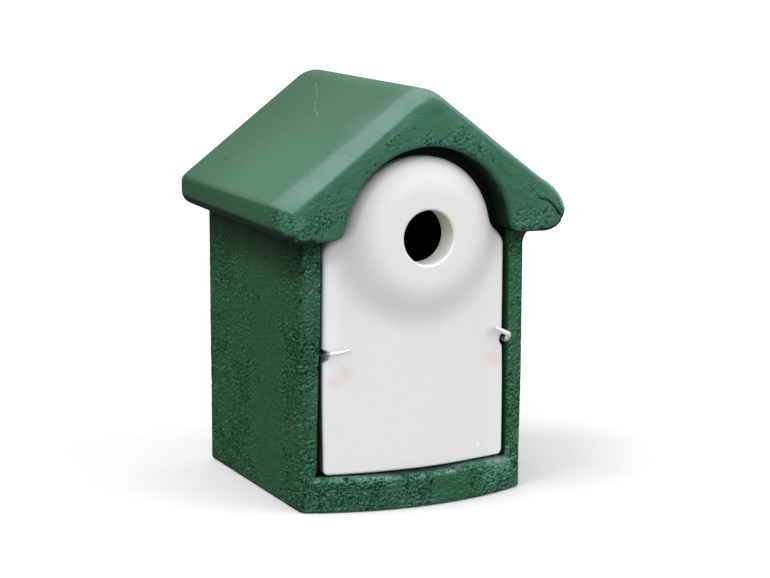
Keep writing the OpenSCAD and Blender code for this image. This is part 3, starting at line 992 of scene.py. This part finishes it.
    # painted shade: near black in the recesses, under the eaves and on faces turned from the light
    col = s.mix(s.math("MULTIPLY", painted_shade, 0.92), col, (0.0015, 0.007, 0.004))
    s.link(col, s.bsdf.inputs["Base Color"])
    r = s.ramp(s.noise(14, 3.0, 0.6), 0.3, 0.7, rough)
    r = s.math("MULTIPLY_ADD", openness, 0.15, r, clamp=True)
    s.link(s.math("MAXIMUM", r, s.math("MULTIPLY", s.math("MAXIMUM", dark, painted_shade), 0.95)), s.bsdf.inputs["Roughness"])
    s.bsdf.inputs["IOR"].default_value = 1.5
    s.bsdf.inputs["Specular IOR Level"].default_value = specular
    height = s.math("MULTIPLY_ADD", small, s.ramp(porous, 0.015, 0.10, (0.05, 0.15)), s.math("MULTIPLY", grain, amount))
    height = s.math("SUBTRACT", height, hole)
    height = s.math("MULTIPLY_ADD", medium, s.ramp(porous, 0.015, 0.10, (0.12, 0.75)), height)
    height = s.math("MULTIPLY_ADD", s.math("MULTIPLY", stroke, struck), 1.8, height)
    n1 = s.bump(height, 0.8, 0.00055)
    s.link(n1, s.bsdf.inputs["Normal"])
    return s.mat


def white_stone():
    s = Nodes("panel_white_stone")

    def spot(x, y, z, size, at=None):
        d = s.add("ShaderNodeVectorMath")
        d.operation = "DISTANCE"
        s.link(at or s.pos, d.inputs[0])
        d.inputs[1].default_value = (x, y + SHIFT, z)
        return s.ramp(d.outputs["Value"], size, size * 0.15)

    cool = s.ramp(s.noise(45, 2.0, 0.5), 0.35, 0.65)
    col = s.mix(cool, (0.725, 0.722, 0.715), (0.71, 0.72, 0.73))
    col = s.mix(s.math("MULTIPLY", s.ramp(s.noise(7, 3.0, 0.6), 0.4, 0.75), 0.25), col, (0.67, 0.675, 0.665))
    # painted sheen: the rim on the left is made whiter and cooler
    xyz = s.add("ShaderNodeSeparateXYZ")
    s.link(s.pos, xyz.inputs[0])
    rim_sheen = s.math("MULTIPLY", s.ramp(xyz.outputs["X"], -44.0, -58.0), s.ramp(xyz.outputs["Z"], 55.0, 100.0, (0.05, 1.0)))
    col = s.mix(s.math("MULTIPLY", rim_sheen, 0.8), col, (0.785, 0.81, 0.87))
    # painted light: the right edge and the top of the panel made paler, as if more brightly lit
    edge = s.math("MAXIMUM", s.ramp(xyz.outputs["X"], 40.0, 57.0), s.ramp(xyz.outputs["Z"], 184.0, 204.0))
    col = s.mix(edge, col, (0.765, 0.755, 0.76))
    # painted light and shade on the wall of the hole: darker and greenish at the top, pale at the foot
    wall = s.mix(s.ramp(xyz.outputs["Z"], 154.0, 174.0), (0.93, 0.93, 0.90), (0.66, 0.70, 0.55))
    col = s.mix(s.attribute("bore"), col, wall)
    # faint peach stains under the hooks, and a chip of bright glaze
    wob = s.add("ShaderNodeVectorMath")
    wob.operation = "MULTIPLY_ADD"
    tex = s.add("ShaderNodeTexNoise", Scale=0.16, Detail=2.0)
    s.link(s.pos, tex.inputs["Vector"])
    s.link(tex.outputs["Color"], wob.inputs[0])
    wob.inputs[1].default_value = (7, 7, 7)
    s.link(s.pos, wob.inputs[2])
    # painted shadow of the arch's hood on the left shoulder
    col = s.mix(s.math("MULTIPLY", spot(-56.0, -3.0, 160.0, 14.0, wob.outputs[0]), 0.75), col, (0.46, 0.47, 0.42))
    stains = s.math("MAXIMUM", spot(-49.5, -2.0, 81.5, 7.5, wob.outputs[0]), s.math("MAXIMUM", spot(-43.5, -3.0, 86.0, 7.0, wob.outputs[0]), spot(55.0, -0.5, 86.5, 9.0, wob.outputs[0])))
    col = s.mix(s.math("MULTIPLY", stains, 0.75), col, (0.72, 0.61, 0.56))
    col = s.mix(spot(40.5, -7.0, 32.0, 1.5), col, (0.95, 0.95, 0.95))
    # painted shade on the panel's edges in the gap round it
    col = s.mix(s.math("MULTIPLY", s.attribute("gap"), 0.93), col, (0.008, 0.018, 0.012))
    s.link(col, s.bsdf.inputs["Base Color"])
    s.link(s.ramp(s.noise(12, 3.0, 0.6), 0.3, 0.7, (0.40, 0.52)), s.bsdf.inputs["Roughness"])
    s.bsdf.inputs["IOR"].default_value = 1.48
    n1 = s.bump(s.noise(3.0, 3.0, 0.55), 0.06, 0.0003)
    s.link(n1, s.bsdf.inputs["Normal"])
    return s.mat


def hook_steel():
    """Zinc plated wire gone dull: pale and slightly rough on the arms, darker and bluer on the shank."""
    s = Nodes("hook_bright_steel")
    a = s.noise(1.4, 3.0, 0.6)
    col = s.mix(s.ramp(a, 0.3, 0.7), (0.72, 0.73, 0.72), (0.86, 0.86, 0.87))
    xyz = s.add("ShaderNodeSeparateXYZ")
    s.link(s.pos, xyz.inputs[0])
    shank = s.ramp(xyz.outputs["Y"], SHIFT - 8.2, SHIFT - 5.6)
    # the left one is tarnished blue where it comes out of the jamb
    root = s.ramp(xyz.outputs["X"], -57.9, -59.2)
    shank = s.math("MAXIMUM", shank, root)
    col = s.mix(s.math("MULTIPLY", shank, 0.8), col, (0.16, 0.17, 0.27))
    s.link(col, s.bsdf.inputs["Base Color"])
    s.link(s.ramp(shank, 0.0, 1.0, (0.35, 0.75)), s.bsdf.inputs["Metallic"])
    s.link(s.ramp(s.noise(0.9, 2.0, 0.6), 0.3, 0.7, (0.36, 0.50)), s.bsdf.inputs["Roughness"])
    n1 = s.bump(s.noise(0.5, 2.0, 0.6), 0.15, 0.00008)
    s.link(n1, s.bsdf.inputs["Normal"])
    return s.mat


# ---------------------------------------------------------------- build
casting = make_casting()
panel = make_panel()
left = make_hook("left_hook_wire", -1, HOOK_L_Z, 2.5, 16.0, 6, 16, 1.3, 0.45)
right = make_hook("right_hook_wire", 1, HOOK_R_Z, 4.0, 12.0, 26, 0, 1.5, 0.05)

green = green_stone("casting_smooth_green", ((0.0165, 0.112, 0.042), (0.0335, 0.120, 0.0745), (0.0275, 0.113, 0.058)), 0.85, (0.53, 0.56), 0.18, 0.75, 0.35)
open_green = green_stone("casting_open_green", ((0.0207, 0.0880, 0.0336), (0.0290, 0.1020, 0.0610), (0.0178, 0.0805, 0.0355)), 1.15, (0.65, 0.80), 0.12, 1.15, 0.6)
white, steel = white_stone(), hook_steel()
casting.data.materials.append(green)
casting.data.materials.append(open_green)
panel.data.materials.append(white)
left.data.materials.append(steel)
right.data.materials.append(steel)

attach(casting, "box")
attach(panel, "box")
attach(left, "left_catch")
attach(right, "right_catch")
GREEN_NODES = ["floor_slab", "left_wall", "right_wall", "left_jamb", "right_jamb",
               "back_wall", "left_roof", "right_roof", "gable_hood"]
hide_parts(*GREEN_NODES)
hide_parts("front_panel")
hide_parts("left_hook")
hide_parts("right_hook")
for name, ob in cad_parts.items():
    mat = white if name == "front_panel" else steel if "hook" in name else green
    for slot in ob.material_slots:
        slot.material = mat

# ---------------------------------------------------------------- studio
floor_mat = Nodes("studio_floor")
floor_mat.link(floor_mat.mix(floor_mat.noise(400, 2.0), (0.90, 0.90, 0.90), (0.91, 0.91, 0.91)), floor_mat.bsdf.inputs["Base Color"])
floor_mat.bsdf.inputs["Roughness"].default_value = 0.9
floor_mat.bsdf.inputs["Specular IOR Level"].default_value = 0.1
bpy.ops.mesh.primitive_plane_add(size=60, location=(0, 0, -0.0002))
floor = bpy.context.object
floor.name = "studio_floor"
floor.data.materials.append(floor_mat.mat)
# the floor takes the box's shadow but throws no light back up under it
floor.visible_diffuse = False
floor.visible_glossy = False


def soft_sun(name, azimuth, elevation, strength, spread, colour=(1, 1, 1)):
    """A wide soft lamp far off. Azimuth 0 stands in front of the box, 90 to its right."""
    data = bpy.data.lights.new(name, "SUN")
    data.energy = strength
    data.angle = math.radians(spread)
    data.color = colour
    ob = bpy.data.objects.new(name, data)
    bpy.context.scene.collection.objects.link(ob)
    a, e = math.radians(azimuth), math.radians(elevation)
    frm = Vector((math.sin(a) * math.cos(e), -math.cos(a) * math.cos(e), math.sin(e)))
    ob.rotation_mode = "QUATERNION"
    ob.rotation_quaternion = (-frm).to_track_quat("-Z", "Y")
    ob.location = frm * 3
    return ob


LIGHTS = dict(front=0.38, low=0.87, fleft=1.08, fright=1.34, lhigh=1.59, rhigh=0.75, back=1.30, sky=0.02, ground=0.45)
soft_sun("soft_front", 0, 35, LIGHTS["front"], 40)
soft_sun("soft_front_low", 0, 5, LIGHTS["low"], 50)
soft_sun("soft_front_left", -45, 30, LIGHTS["fleft"], 50)
soft_sun("soft_front_right", 45, 30, LIGHTS["fright"], 50)
soft_sun("soft_left_high", -90, 55, LIGHTS["lhigh"], 40)
soft_sun("soft_right_high", 90, 50, LIGHTS["rhigh"], 60)
soft_sun("soft_back", 180, 35, LIGHTS["back"], 70)

world = bpy.data.worlds.new("studio")
bpy.context.scene.world = world
world.use_nodes = True
wt = world.node_tree
where_to = wt.nodes.new("ShaderNodeTexCoord")
split = wt.nodes.new("ShaderNodeSeparateXYZ")
wt.links.new(where_to.outputs["Generated"], split.inputs[0])
up_down = wt.nodes.new("ShaderNodeMapRange")
up_down.inputs["From Min"].default_value = -0.12
up_down.inputs["From Max"].default_value = 0.12
up_down.inputs["To Min"].default_value = LIGHTS["ground"]
up_down.inputs["To Max"].default_value = LIGHTS["sky"]
wt.links.new(split.outputs["Z"], up_down.inputs["Value"])
wt.links.new(up_down.outputs["Result"], wt.nodes["Background"].inputs["Strength"])
wt.nodes["Background"].inputs["Color"].default_value = (1, 1, 1, 1)
bpy.context.scene.view_settings.view_transform = "Standard"

# ---------------------------------------------------------------- camera
cam_data = bpy.data.cameras.new("camera")
cam_data.sensor_fit = "HORIZONTAL"
cam_data.sensor_width = 36.0
cam_data.lens = 2196.565 * 36.0 / 770.0
cam_data.clip_start, cam_data.clip_end = 0.01, 100.0
cam = bpy.data.objects.new("camera", cam_data)
bpy.context.scene.collection.objects.link(cam)
az, el, roll = math.radians(25.588), math.radians(10.198), math.radians(0.218)
fw = Vector((math.sin(az) * math.cos(el), math.cos(az) * math.cos(el), -math.sin(el)))
rt = Vector((math.cos(az), -math.sin(az), 0))
up = rt.cross(fw)
c, s = math.cos(roll), math.sin(roll)
rt2, up2 = c * rt + s * up, -s * rt + c * up
rot = Matrix((rt2, up2, -fw)).transposed()
cam.rotation_mode = "QUATERNION"
cam.rotation_quaternion = rot.to_quaternion()
cam.location = (-0.564903, (-1140.935 + SHIFT) * MM, 0.357277)
bpy.context.scene.camera = cam
